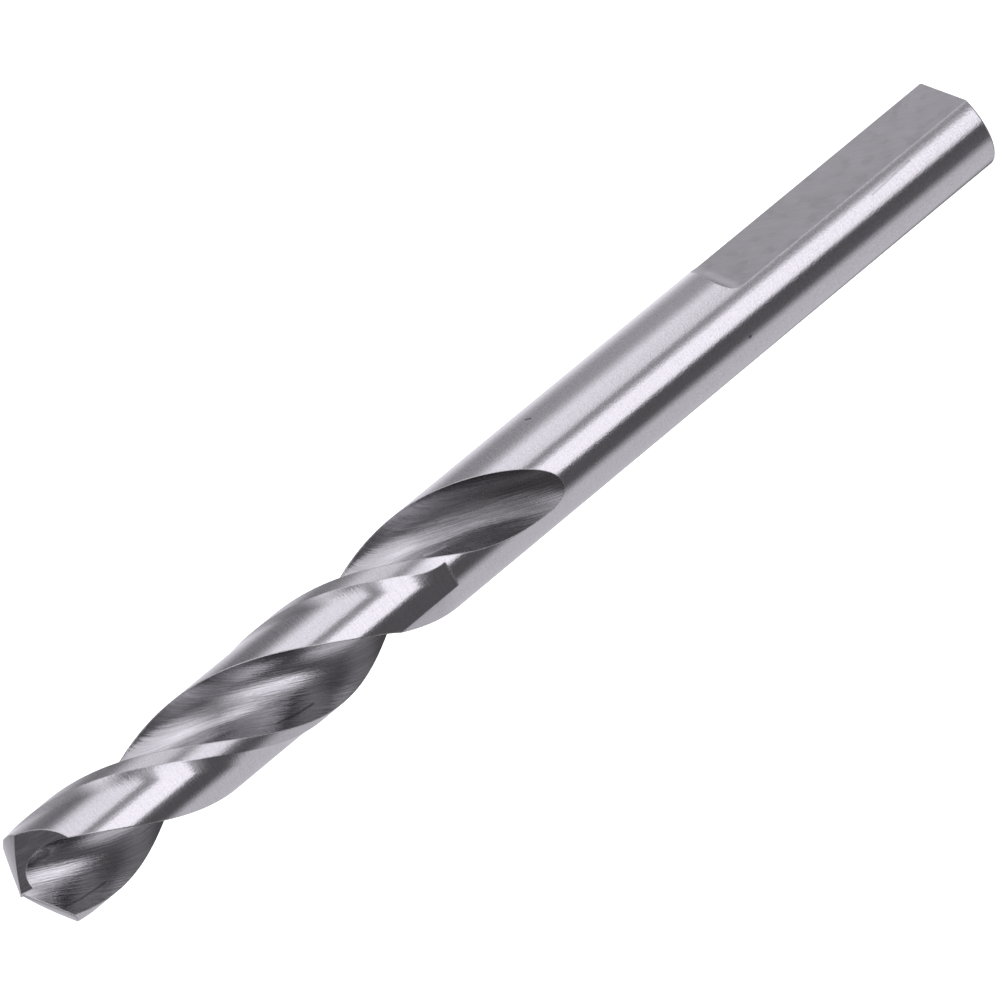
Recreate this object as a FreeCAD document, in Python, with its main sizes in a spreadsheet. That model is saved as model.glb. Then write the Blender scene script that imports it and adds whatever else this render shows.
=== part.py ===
import FreeCAD, Part
import math
import os
import Sketcher

# Pilot drill bit, ground from one bar of high speed steel. It stands on its shank end:
# the origin is the middle of that end, +Z runs up the axis to the point, and the flat
# on the shank faces -Y. Lengths are in millimetres and angles in degrees.

NODE = "pilot_drill_bit"

SIZES = [
    ("overall_length", 72.0, "shank end to chisel edge"),
    ("drill_diameter", 6.35, "across the margins at the point"),
    ("shank_diameter", 6.3, "the bar tapers to this by the end of the relief"),
    ("shank_chamfer", 0.06, "edge break round the shank end"),
    ("flat_length", 17.85, "full-depth part of the shank flat"),
    ("flat_depth", 0.9, "how far the flat is cut below the round"),
    ("flat_corner", 1.3, "radius where the flat runs out"),
    ("flute_length", 38.45, "chisel edge to the last trace of a flute"),
    ("lead_length", 33.4, "advance of a flute in one turn"),
    ("flute_hollow", 1.95, "radius of the flute's floor"),
    ("web_thickness", 1.1, "core left between the two flutes"),
    ("land_angle", 84.2, "arc of one land, leading edge to heel"),
    ("runout_length", 7.85, "stretch in which the flute gets shallow"),
    ("runout_radius", 11.1, "arc on which the cutter leaves the bar"),
    ("runout_lean", 5.5, "how far the cutter leaves behind the leading edge"),
    ("margin_angle", 16.0, "arc of the margin, at full diameter"),
    ("clearance_depth", 0.14, "how far the land behind the margin is relieved"),
    ("clearance_length", 29.9, "chisel edge to the end of the relief"),
    ("clearance_easing", 1.8, "last stretch of it, in which the bar stops turning"),
    ("wheel_width", 6.0, "width of the wheel that grinds the relief"),
    ("point_angle", 135.0, "included angle of the two lips"),
    ("lip_angle", 148.5, "direction of the first lip, seen from the point"),
    ("lip_relief", 6.0, "clearance angle right behind a lip"),
    ("flank_radius", 8.5, "curve of the ground flank behind a lip"),
    ("notch_turn", 50.2, "from a lip round to its notch"),
    ("notch_tilt", 42.6, "floor of the notch, off the axis"),
    ("notch_wall", 15.4, "wall on the heel side, below square"),
    ("notch_opening", 84.4, "angle between the notch's two walls"),
    ("chisel_length", 0.17, "chisel edge left between the notches"),
]

SECTION_TURN = 12.0  # turn between two stations of a helical cutter
EASED_PITCH = 0.7  # stations are this much closer where the turning eases off
BEYOND = 1.2  # how far every cutter reaches past the steel
HEEL_OVERRUN = 6.0  # how far round the clearance cutter reaches past the heel


def read_sizes(doc):
    """Write the sizes to the sheet, and return the sheet."""
    sheet = doc.addObject("Spreadsheet::Sheet", "sizes")
    for row, (name, value, meaning) in enumerate(SIZES, start=1):
        sheet.set(f"A{row}", meaning)
        sheet.set(f"B{row}", str(value))
        sheet.setAlias(f"B{row}", name)
    doc.recompute()
    return sheet


def vector(x, y, z=0.0):
    return FreeCAD.Vector(x, y, z)


def polar(radius, angle, z=0.0):
    """Point at a radius from the axis, at an angle in degrees from +X."""
    turn = math.radians(angle)
    return vector(radius * math.cos(turn), radius * math.sin(turn), z)


def frame_at(origin, across, normal):
    """Placement whose X runs along across and whose Z runs along normal."""
    up = normal.cross(across)
    return FreeCAD.Placement(origin, FreeCAD.Rotation(across, up, normal, "ZXY"))


def bind(sketch, constraint, name, formula):
    """Add a dimension to a sketch, and tie it to the sheet."""
    index = sketch.addConstraint(constraint)
    sketch.renameConstraint(index, name)
    sketch.setExpression(f"Constraints.{name}", formula)


def join_ends(sketch, count):
    """Join the end of each edge of a closed outline to the start of the next."""
    for edge in range(count):
        following = (edge + 1) % count
        sketch.addConstraint(Sketcher.Constraint("Coincident", edge, 2, following, 1))


def new_sketch(body, name, plane, placement):
    """Sketch on one of the body's own origin planes, moved by a placement in it."""
    sketch = body.newObject("Sketcher::SketchObject", name)
    origin = next(f for f in body.Origin.OriginFeatures if f.Role == plane)
    sketch.AttachmentSupport = [(origin, "")]
    sketch.MapMode = "FlatFace"
    sketch.AttachmentOffset = placement
    return sketch


def outline(sketch, points):
    """Closed outline of straight edges through the points."""
    for start, end in zip(points, points[1:] + points[:1]):
        sketch.addGeometry(Part.LineSegment(start, end), False)
    join_ends(sketch, len(points))


def make_blank(doc, sheet):
    """Bar turned about the axis, with a small chamfer round its shank end. It is straight
    up to where the relief ends, and from there widens very slightly to the point."""
    body = doc.addObject("PartDesign::Body", "blank")
    sketch = new_sketch(body, "blank_half_section", "YZ_Plane", FreeCAD.Placement())
    radius = sheet.drill_diameter / 2
    shank = sheet.shank_diameter / 2
    corner = sheet.shank_chamfer
    top = sheet.overall_length
    shank_top = top - sheet.clearance_length
    points = [
        vector(0, 0),
        vector(shank - corner, 0),
        vector(shank, corner),
        vector(shank, shank_top),
        vector(radius, top),
        vector(0, top),
    ]
    outline(sketch, points)
    sketch.addConstraint(Sketcher.Constraint("Coincident", 0, 1, -1, 1))
    sketch.addConstraint(Sketcher.Constraint("Horizontal", 0))
    sketch.addConstraint(Sketcher.Constraint("Vertical", 2))
    sketch.addConstraint(Sketcher.Constraint("Horizontal", 4))
    sketch.addConstraint(Sketcher.Constraint("Vertical", 5))
    across = Sketcher.Constraint("DistanceX", -1, 1, 1, 2, shank)
    bind(sketch, across, "shank_radius", "sizes.shank_diameter / 2")
    across = Sketcher.Constraint("DistanceX", -1, 1, 3, 2, radius)
    bind(sketch, across, "point_radius", "sizes.drill_diameter / 2")
    bind(sketch, Sketcher.Constraint("DistanceX", 1, 1, 1, 2, corner), "chamfer_in", "sizes.shank_chamfer")
    bind(sketch, Sketcher.Constraint("DistanceY", 1, 1, 1, 2, corner), "chamfer_up", "sizes.shank_chamfer")
    bind(sketch, Sketcher.Constraint("DistanceY", -1, 1, 3, 2, top), "length", "sizes.overall_length")
    taper = Sketcher.Constraint("DistanceY", 3, 1, 3, 2, top - shank_top)
    bind(sketch, taper, "taper_length", "sizes.clearance_length")
    turned = body.newObject("PartDesign::Revolution", "turned_bar")
    turned.Profile = sketch
    turned.ReferenceAxis = (sketch, ["V_Axis"])
    turned.Angle = 360
    doc.recompute()
    return body


def flank_centre(sheet):
    """Centre of the flank's circle, seen along the lip: X behind the lip, Y up to the
    point, from the middle of the chisel edge, through which the circle passes."""
    radius = sheet.flank_radius
    ahead = sheet.web_thickness / 2 + radius * math.sin(math.radians(sheet.lip_relief))
    return vector(-ahead, -math.sqrt(radius**2 - ahead**2))


def lip_corner_depth(sheet):
    """How far a lip's outer corner lies below the chisel edge."""
    ahead = sheet.web_thickness / 2
    centre = flank_centre(sheet)
    height = centre.y + math.sqrt(sheet.flank_radius**2 - (ahead + centre.x) ** 2)
    half_angle = math.radians(sheet.point_angle / 2)
    out = math.sqrt((sheet.drill_diameter / 2) ** 2 - ahead**2)
    return out / math.tan(half_angle) - height / math.sin(half_angle)


def leading_angle(sheet):
    """Direction of the first land's leading edge at the chisel edge's height. The edge
    runs down from the outer corner of the lip, which lies half the web ahead of centre."""
    corner = math.degrees(math.asin(sheet.web_thickness / sheet.drill_diameter))
    return sheet.lip_angle + corner + 360 * lip_corner_depth(sheet) / sheet.lead_length


def clearance_radius(sheet):
    """Radius of the relieved land, from the axis."""
    return sheet.drill_diameter / 2 - sheet.clearance_depth


def make_flute_section(doc, sheet):
    """Outline of one flute square to the axis: a straight face under the lip, then one
    round floor that leaves the web and comes out at the heel of the next land."""
    radius = sheet.drill_diameter / 2
    floor = sheet.flute_hollow
    heel_radius = clearance_radius(sheet)
    lead = leading_angle(sheet)
    heel = lead + 180 - sheet.land_angle
    reach = sheet.web_thickness / 2 + floor
    swing = (reach**2 + heel_radius**2 - floor**2) / (2 * reach * heel_radius)
    centre = polar(reach, heel - math.degrees(math.acos(swing)))
    edge = polar(radius, lead)
    to_centre = centre - edge
    spread = math.degrees(math.asin(floor / to_centre.Length))
    face = math.degrees(math.atan2(to_centre.y, to_centre.x)) + spread
    tangent = edge + polar(math.sqrt(to_centre.Length**2 - floor**2), face)
    outer = edge - polar(BEYOND, face)
    web_point = centre * (sheet.web_thickness / 2 / reach)
    heel_arm = polar(heel_radius, heel) - centre
    past_heel = FreeCAD.Rotation(vector(0, 0, 1), -math.degrees(BEYOND / floor))
    last = centre + past_heel.multVec(heel_arm)
    corner = polar(2 * radius + BEYOND, (lead + heel) / 2)
    edges = [
        Part.LineSegment(outer, tangent).toShape(),
        Part.Arc(tangent, web_point, last).toShape(),
        Part.LineSegment(last, corner).toShape(),
        Part.LineSegment(corner, outer).toShape(),
    ]
    section = doc.addObject("Part::Feature", "flute_section")
    section.Shape = Part.Wire(edges)
    return section


def relief_angle(sheet):
    """How far behind the leading edge the relieving wheel touches the bar. Between that
    line and the margin the wheel's straight face leaves a flat."""
    flat = math.degrees(math.acos(clearance_radius(sheet) / (sheet.drill_diameter / 2)))
    return sheet.margin_angle + flat


def make_clearance_section(doc, sheet):
    """Section square to the axis that relieves one land: a straight line that starts
    behind the margin, then an arc that runs on past the heel."""
    inner = clearance_radius(sheet)
    outer = sheet.drill_diameter / 2 + BEYOND
    start = leading_angle(sheet) - relief_angle(sheet)
    end = leading_angle(sheet) - sheet.land_angle - HEEL_OVERRUN
    touch = polar(inner, start)
    line_end = touch + polar(math.sqrt(outer**2 - inner**2), start + 90)
    outer_start = start + math.degrees(math.acos(inner / outer))
    edges = [
        Part.LineSegment(line_end, touch).toShape(),
        Part.Arc(touch, polar(inner, (start + end) / 2), polar(inner, end)).toShape(),
        Part.LineSegment(polar(inner, end), polar(outer, end)).toShape(),
        Part.Arc(polar(outer, end), polar(outer, (outer_start + end) / 2), line_end).toShape(),
    ]
    section = doc.addObject("Part::Feature", "clearance_section")
    section.Shape = Part.Wire(edges)
    return section


def eased_turn(sheet, depth, begin, easing):
    """Angle that a cutter has turned by at a depth below the chisel edge. It turns
    evenly down to begin, and over the easing length it comes to a stop."""
    rate = 360 / sheet.lead_length
    past = min(max(depth - begin, 0), easing)
    return -rate * (min(depth, begin) + past - past**2 / (2 * easing))


def flute_station(sheet, depth):
    """Placement of the flute's section at a depth. In the run-out the cutter leaves the
    bar on an arc while its turning eases off."""
    begin = sheet.flute_length - sheet.runout_length
    past = max(depth - begin, 0)
    turn = eased_turn(sheet, depth, begin, sheet.runout_length)
    rise = sheet.runout_radius - math.sqrt(sheet.runout_radius**2 - past**2)
    away = polar(rise, leading_angle(sheet) + sheet.runout_lean + turn)
    level = vector(0, 0, sheet.overall_length - depth)
    return FreeCAD.Placement(away + level, FreeCAD.Rotation(vector(0, 0, 1), turn))


def clearance_station(sheet, depth):
    """Placement of the clearance's section at a depth."""
    begin = sheet.clearance_length - sheet.clearance_easing
    turn = eased_turn(sheet, depth, begin, sheet.clearance_easing)
    level = vector(0, 0, sheet.overall_length - depth)
    return FreeCAD.Placement(level, FreeCAD.Rotation(vector(0, 0, 1), turn))


def steps(start, end, longest):
    """Evenly spaced values from start to end, no further apart than longest."""
    count = math.ceil(abs(end - start) / longest)
    return [start + (end - start) * index / count for index in range(count + 1)]


def loft_stations(section, placements):
    """Solid through one section at each placement."""
    wires = []
    for placement in placements:
        wire = section.Shape.copy()
        wire.Placement = placement
        wires.append(wire)
    return Part.makeLoft(wires, True, False)


def make_flute_cutter(doc, sheet, section):
    """What is ground out for one flute, from past the point to the end of the run-out."""
    pitch = sheet.lead_length * SECTION_TURN / 360
    begin = sheet.flute_length - sheet.runout_length
    depths = steps(-BEYOND, begin, pitch)
    depths += steps(begin, sheet.flute_length + BEYOND, pitch * EASED_PITCH)[1:]
    cutter = doc.addObject("Part::Feature", "flute_cutter")
    cutter.Shape = loft_stations(section, [flute_station(sheet, depth) for depth in depths])
    return cutter


def make_clearance_cutter(doc, sheet, section):
    """What is ground off one land behind its margin. Where the wheel stopped, its width
    leaves a flat, and the land beyond that flat keeps its full diameter."""
    pitch = sheet.lead_length * SECTION_TURN / 360
    begin = sheet.clearance_length - sheet.clearance_easing
    depths = steps(-BEYOND, begin, pitch)
    depths += steps(begin, sheet.clearance_length, pitch * EASED_PITCH)[1:]
    sweep = doc.addObject("Part::Feature", "clearance_sweep")
    sweep.Shape = loft_stations(section, [clearance_station(sheet, depth) for depth in depths])
    block = doc.addObject("Part::Box", "untouched_land")
    size = 2 * sheet.drill_diameter
    block.Length = size
    block.Width = size
    block.Height = sheet.wheel_width + BEYOND
    stop = clearance_station(sheet, sheet.clearance_length)
    facing = stop.Rotation.multVec(polar(1, leading_angle(sheet) - relief_angle(sheet)))
    place = frame_at(vector(0, 0), facing * -1, vector(0, 0, 1))
    low = vector(0, 0, sheet.overall_length - sheet.clearance_length - BEYOND)
    block.Placement = FreeCAD.Placement(facing * clearance_radius(sheet) + low, place.Rotation)
    cutter = doc.addObject("Part::Cut", "clearance_cutter")
    cutter.Base = sweep
    cutter.Tool = block
    return cutter


def pair(doc, cutter):
    """The cutter and its twin half a turn round the axis."""
    doc.recompute()
    twin = doc.addObject("Part::Feature", cutter.Name + "_twin")
    twin.Shape = cutter.Shape
    twin.Placement = FreeCAD.Placement(vector(0, 0), FreeCAD.Rotation(vector(0, 0, 1), 180))
    both = doc.addObject("Part::Compound", cutter.Name + "_pair")
    both.Links = [cutter, twin]
    return both


def cut(doc, name, base, tool):
    """Base with the tool's volume taken off. A cut that takes nothing is an error."""
    result = doc.addObject("Part::Cut", name)
    result.Base = base
    result.Tool = tool
    doc.recompute()
    if result.Shape.Volume >= base.Shape.Volume * (1 - 1e-7):
        raise RuntimeError(name + " takes nothing off")
    return result


def pocket(body, name, sketch, length):
    """Pocket to both sides of a sketch's plane."""
    before = body.Tip.Shape.Volume
    feature = body.newObject("PartDesign::Pocket", name)
    feature.Profile = sketch
    feature.Type = 0
    feature.Midplane = True
    feature.Length = length
    body.Document.recompute()
    if feature.Shape.Volume >= before * (1 - 1e-7):
        raise RuntimeError(name + " takes nothing off")
    return feature


def add_flank(body, sheet):
    """Ground flank behind the first lip: part of a large cylinder that runs along the
    lip, passes the middle of the chisel edge and falls away behind the lip."""
    half_angle = sheet.point_angle / 2
    lip = polar(1, sheet.lip_angle)
    slope = math.radians(half_angle)
    along = lip * math.sin(slope) - vector(0, 0, math.cos(slope))
    behind = polar(1, sheet.lip_angle - 90)
    place = frame_at(vector(0, 0, sheet.overall_length), behind, along * -1)
    sketch = new_sketch(body, "flank_sketch", "XY_Plane", place)
    radius = sheet.flank_radius
    centre = flank_centre(sheet)
    reach = sheet.drill_diameter / 2 + BEYOND
    left = vector(-reach, centre.y + math.sqrt(radius**2 - (centre.x + reach) ** 2))
    right = vector(reach, centre.y + math.sqrt(radius**2 - (reach - centre.x) ** 2))
    height = sheet.drill_diameter
    start = math.atan2(right.y - centre.y, right.x - centre.x)
    end = math.atan2(left.y - centre.y, left.x - centre.x)
    circle = Part.Circle(centre, vector(0, 0, 1), radius)
    sketch.addGeometry(Part.ArcOfCircle(circle, start, end), False)
    sketch.addGeometry(Part.LineSegment(left, vector(-reach, height)), False)
    sketch.addGeometry(Part.LineSegment(vector(-reach, height), vector(reach, height)), False)
    sketch.addGeometry(Part.LineSegment(vector(reach, height), right), False)
    join_ends(sketch, 4)
    sketch.addConstraint(Sketcher.Constraint("Vertical", 1))
    sketch.addConstraint(Sketcher.Constraint("Horizontal", 2))
    sketch.addConstraint(Sketcher.Constraint("Vertical", 3))
    sketch.addConstraint(Sketcher.Constraint("PointOnObject", -1, 1, 0))
    bind(sketch, Sketcher.Constraint("Radius", 0, radius), "flank_radius", "sizes.flank_radius")
    bind(
        sketch,
        Sketcher.Constraint("DistanceX", 0, 3, -1, 1, -centre.x),
        "centre_ahead",
        "sizes.web_thickness / 2 + sizes.flank_radius * sin(sizes.lip_relief * 1deg)",
    )
    reach_formula = f"sizes.drill_diameter / 2 + {BEYOND}"
    bind(sketch, Sketcher.Constraint("DistanceX", 2, 1, -1, 1, reach), "reach_ahead", reach_formula)
    bind(sketch, Sketcher.Constraint("DistanceX", -1, 1, 2, 2, reach), "reach_behind", reach_formula)
    bind(sketch, Sketcher.Constraint("DistanceY", -1, 1, 2, 1, height), "height", "sizes.drill_diameter")
    return pocket(body, "lip_flank", sketch, 3 * sheet.drill_diameter)


def add_notch(body, sheet):
    """Split-point notch in the heel across from the first lip: a V whose floor climbs
    from beside the chisel edge out through the heel. Its steep wall is the inner lip."""
    floor_turn = sheet.lip_angle + sheet.notch_turn
    tilt = math.radians(sheet.notch_tilt)
    floor = polar(math.sin(tilt), floor_turn, -math.cos(tilt))
    across = polar(1, floor_turn + 90)
    offset = sheet.chisel_length / 2
    apex = polar(offset, sheet.lip_angle + 180) + vector(0, 0, sheet.overall_length)
    place = frame_at(apex, across, floor)
    sketch = new_sketch(body, "notch_sketch", "XY_Plane", place)
    reach = 2 * sheet.drill_diameter
    wall_end = polar(reach, -sheet.notch_wall)
    rake_end = polar(reach, sheet.notch_opening - sheet.notch_wall)
    outline(sketch, [vector(0, 0), wall_end, rake_end])
    sketch.addConstraint(Sketcher.Constraint("Coincident", 0, 1, -1, 1))
    sketch.addConstraint(Sketcher.Constraint("Equal", 0, 2))
    bind(sketch, Sketcher.Constraint("Distance", 0, reach), "reach", "2 * sizes.drill_diameter")
    bind(
        sketch,
        Sketcher.Constraint("DistanceY", 0, 2, -1, 1, -wall_end.y),
        "wall_drop",
        "2 * sizes.drill_diameter * sin(sizes.notch_wall * 1deg)",
    )
    bind(
        sketch,
        Sketcher.Constraint("DistanceY", -1, 1, 1, 2, rake_end.y),
        "rake_rise",
        "2 * sizes.drill_diameter * sin((sizes.notch_opening - sizes.notch_wall) * 1deg)",
    )
    return pocket(body, "split_notch", sketch, 4 * sheet.drill_diameter)


def add_twins(body, features):
    """Repeat the features half a turn round the axis."""
    pattern = body.newObject("PartDesign::PolarPattern", "second_cutting_side")
    pattern.Originals = features
    axis = next(f for f in body.Origin.OriginFeatures if f.Role == "Z_Axis")
    pattern.Axis = (axis, [""])
    pattern.Angle = 360
    pattern.Occurrences = 2
    body.Tip = pattern
    body.Document.recompute()
    return pattern


def add_shank_flat(body, sheet):
    """Flat for the arbor's grub screw. It is open at the shank end, and runs out on a
    small radius at the other."""
    place = frame_at(vector(0, 0), vector(0, 1), vector(1, 0))
    sketch = new_sketch(body, "shank_flat_sketch", "XY_Plane", place)
    corner = sheet.flat_corner
    level = sheet.shank_diameter / 2 - sheet.flat_depth
    outer = level + corner + BEYOND
    top = sheet.flat_length
    flat_start = vector(-level, -BEYOND)
    flat_end = vector(-level, top)
    runout_end = vector(-level - corner, top + corner)
    outer_top = vector(-outer, top + corner)
    outer_start = vector(-outer, -BEYOND)
    circle = Part.Circle(vector(-level - corner, top), vector(0, 0, 1), corner)
    sketch.addGeometry(Part.LineSegment(flat_start, flat_end), False)
    sketch.addGeometry(Part.ArcOfCircle(circle, 0, math.pi / 2), False)
    sketch.addGeometry(Part.LineSegment(runout_end, outer_top), False)
    sketch.addGeometry(Part.LineSegment(outer_top, outer_start), False)
    sketch.addGeometry(Part.LineSegment(outer_start, flat_start), False)
    join_ends(sketch, 5)
    sketch.addConstraint(Sketcher.Constraint("Vertical", 0))
    sketch.addConstraint(Sketcher.Constraint("Horizontal", 0, 2, 1, 3))
    sketch.addConstraint(Sketcher.Constraint("Vertical", 1, 2, 1, 3))
    sketch.addConstraint(Sketcher.Constraint("Horizontal", 2))
    sketch.addConstraint(Sketcher.Constraint("Vertical", 3))
    sketch.addConstraint(Sketcher.Constraint("Horizontal", 4))
    level_formula = "sizes.shank_diameter / 2 - sizes.flat_depth"
    bind(sketch, Sketcher.Constraint("DistanceX", 0, 1, -1, 1, level), "level", level_formula)
    bind(sketch, Sketcher.Constraint("Radius", 1, corner), "corner", "sizes.flat_corner")
    bind(sketch, Sketcher.Constraint("DistanceY", -1, 1, 0, 2, top), "length", "sizes.flat_length")
    bind(sketch, Sketcher.Constraint("DistanceY", 0, 1, -1, 1, BEYOND), "below", f"{BEYOND}")
    bind(sketch, Sketcher.Constraint("DistanceX", 2, 2, 2, 1, BEYOND), "beyond", f"{BEYOND}")
    return pocket(body, "shank_flat", sketch, 2 * sheet.shank_diameter)


def make_bit(doc, sheet, ground_bar):
    """The finished bit: the fluted and relieved bar with its point and its shank flat."""
    body = doc.addObject("PartDesign::Body", NODE)
    body.Label = NODE
    body.BaseFeature = ground_bar
    doc.recompute()
    flank = add_flank(body, sheet)
    notch = add_notch(body, sheet)
    add_twins(body, [flank, notch])
    add_shank_flat(body, sheet)
    return body


def check(doc, node):
    """Stop if anything in the document failed, or the node isn't one sound solid."""
    for item in doc.Objects:
        if "Invalid" in item.State or "Error" in item.State:
            raise RuntimeError(f"{item.Name} is {item.State}")
    shape = node.Shape
    if shape.isNull() or not shape.isValid() or len(shape.Solids) != 1:
        raise RuntimeError(f"{node.Label} is not one valid solid")


def main():
    doc = FreeCAD.newDocument("pilot_drill_bit")
    sheet = read_sizes(doc)
    blank = make_blank(doc, sheet)
    flute = make_flute_cutter(doc, sheet, make_flute_section(doc, sheet))
    fluted = cut(doc, "fluted_bar", blank, pair(doc, flute))
    clearance = make_clearance_cutter(doc, sheet, make_clearance_section(doc, sheet))
    relieved = cut(doc, "relieved_bar", fluted, pair(doc, clearance))
    bit = make_bit(doc, sheet, relieved)
    doc.recompute()
    check(doc, bit)
    os.makedirs("parts", exist_ok=True)
    bit.Shape.exportStep(f"parts/{bit.Label}.step")
    print(f"{bit.Label}: {bit.Shape.Volume:.1f} mm3, {len(bit.Shape.Faces)} faces")


main()
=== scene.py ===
import math

import bmesh
import bpy
from mathutils import Matrix, Vector


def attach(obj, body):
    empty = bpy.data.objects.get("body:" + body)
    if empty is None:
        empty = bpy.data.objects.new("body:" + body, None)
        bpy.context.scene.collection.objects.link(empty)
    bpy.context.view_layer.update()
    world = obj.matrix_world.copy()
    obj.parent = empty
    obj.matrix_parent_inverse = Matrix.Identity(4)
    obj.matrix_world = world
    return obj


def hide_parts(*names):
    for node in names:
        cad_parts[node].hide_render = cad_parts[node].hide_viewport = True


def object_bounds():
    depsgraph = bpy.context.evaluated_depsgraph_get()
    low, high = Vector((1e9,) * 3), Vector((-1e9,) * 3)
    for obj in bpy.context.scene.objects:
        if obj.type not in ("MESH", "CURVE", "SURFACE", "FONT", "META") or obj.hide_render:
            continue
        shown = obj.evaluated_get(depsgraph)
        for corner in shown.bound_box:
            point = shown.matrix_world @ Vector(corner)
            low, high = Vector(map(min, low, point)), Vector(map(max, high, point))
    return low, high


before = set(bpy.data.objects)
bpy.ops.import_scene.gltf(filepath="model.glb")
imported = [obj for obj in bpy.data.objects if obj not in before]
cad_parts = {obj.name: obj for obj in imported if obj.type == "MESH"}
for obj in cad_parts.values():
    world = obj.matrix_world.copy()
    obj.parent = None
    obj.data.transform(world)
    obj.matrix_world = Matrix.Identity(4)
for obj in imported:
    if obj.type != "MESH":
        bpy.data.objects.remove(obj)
CAD_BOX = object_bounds()

bl_info = {
    "name": "Pilot Drill Bit",
    "version": (1, 0, 0),
    "blender": (4, 5, 0),
    "location": "View3D > Sidebar > Drill",
    "description": "Grinds a split-point pilot drill bit and lights it in a small studio",
    "category": "Object",
}

NODE = "pilot_drill_bit"

BEYOND = 0.0012  # how far every cutter reaches past the steel
HEEL_OVERRUN = math.radians(6)  # how far round the relief reaches past the heel
BAR_FACETS = 384  # round the bar
DIVE = 0.00016  # how far ahead of its touching line the stopped wheel's face reaches
DIVE_ANGLE = math.radians(3)  # how far off square the end of that reach is
WELD = 1e-7  # corners of the bar's profile closer than this are one
FEWEST_FACES = 10000  # of the finished drill, which has fewer only where a cut failed
TURN_STEP = math.radians(2)  # turn between two stations of a helical cutter
ARC_STEP = math.radians(3)  # facets of a cutter's arcs
FACE_PIECES = 8  # facets of the flute's straight face
WALL_PIECES = 6  # facets of the wall behind a margin
SHARP_EDGE = math.radians(11)  # ground faces that meet at more than this keep an edge

EDGE_BREAK = 0.00010  # radius that light sees on the ground edges
EDGE_START, EDGE_FULL = 0.02, 0.12  # turn of the normal there, as 1 less its cosine
EDGE_PAINTED_HIGHLIGHT = 0.60  # painted highlight along a broken edge: what it adds to the brightness of the steel
EDGE_ROUGHNESS = 0.35  # and to its roughness
DARK_MARK_AND_SHADE = 0.62  # share of the brightness that a dark mark or painted shade takes
PAINTED_HIGHLIGHT_GAIN = 0.90  # what a painted highlight on a scratch adds to it
STREAK_SLANT = 0.40  # by how much the streaks in the flutes are steeper than the helix
FLAT_SLANT = math.radians(38)  # of the marks on the shank flat, off its width

# Small marks of use, one patch of painted shade and one scratch with a painted highlight, by
# their places on the drill in millimetres.
SPOT = ((-3.14, 0.18, 19.35), (-3.14, 0.18, 19.40))
SHANK_SCRATCH = ((-0.02, -3.15, 32.71), (-0.25, -3.14, 32.50))
FAINT_LINE = ((-2.67, -1.68, 8.29), (-2.58, -1.80, 5.18))
FLUTE_SCRATCH = ((-2.36, 0.37, 55.14), (-2.17, 0.86, 53.95), (-1.78, 1.33, 52.52))
TIP_SCRATCH = ((-2.25, 0.84, 70.77), (-2.04, 1.26, 69.72), (-1.50, 1.84, 67.96))
SMUDGE = ((-0.56, -2.25, 10.66), (-1.44, -2.25, 10.59))
# a real scratch whose glint is painted in as a lighter colour
SCRATCH_PAINTED_HIGHLIGHT = ((-0.25, -0.54, 42.00), (-0.53, -0.50, 41.52), (-0.72, -0.43, 40.85))
# painted shade where the notch meets the flute, not a mark on the steel
NOTCH_PAINTED_SHADE = ((-0.16, -1.50, 70.65), (-0.42, -1.50, 69.75))

# One finish for each way in which a face was ground, in the order of the slots.
FINISHES = ("shank", "flute", "land", "flank", "notch", "flat", "end")
SHANK, FLUTE, LAND, FLANK, NOTCH, FLAT, END = range(len(FINISHES))


def length(name, description, default):
    """Length property of a panel, in metres."""
    return bpy.props.FloatProperty(
        name=name, description=description, default=default, min=0.0,
        subtype="DISTANCE", unit="LENGTH", precision=5,
    )


def angle(name, description, degrees):
    """Angle property of a panel, stored in radians."""
    return bpy.props.FloatProperty(
        name=name, description=description, default=math.radians(degrees),
        subtype="ANGLE", unit="ROTATION",
    )


def number(name, description, default):
    """Plain number of a panel."""
    return bpy.props.FloatProperty(name=name, description=description, default=default)


def colour(name, description, default):
    """Colour property of a panel."""
    return bpy.props.FloatVectorProperty(
        name=name, description=description, default=default, min=0.0, max=1.0,
        size=3, subtype="COLOR",
    )


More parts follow.
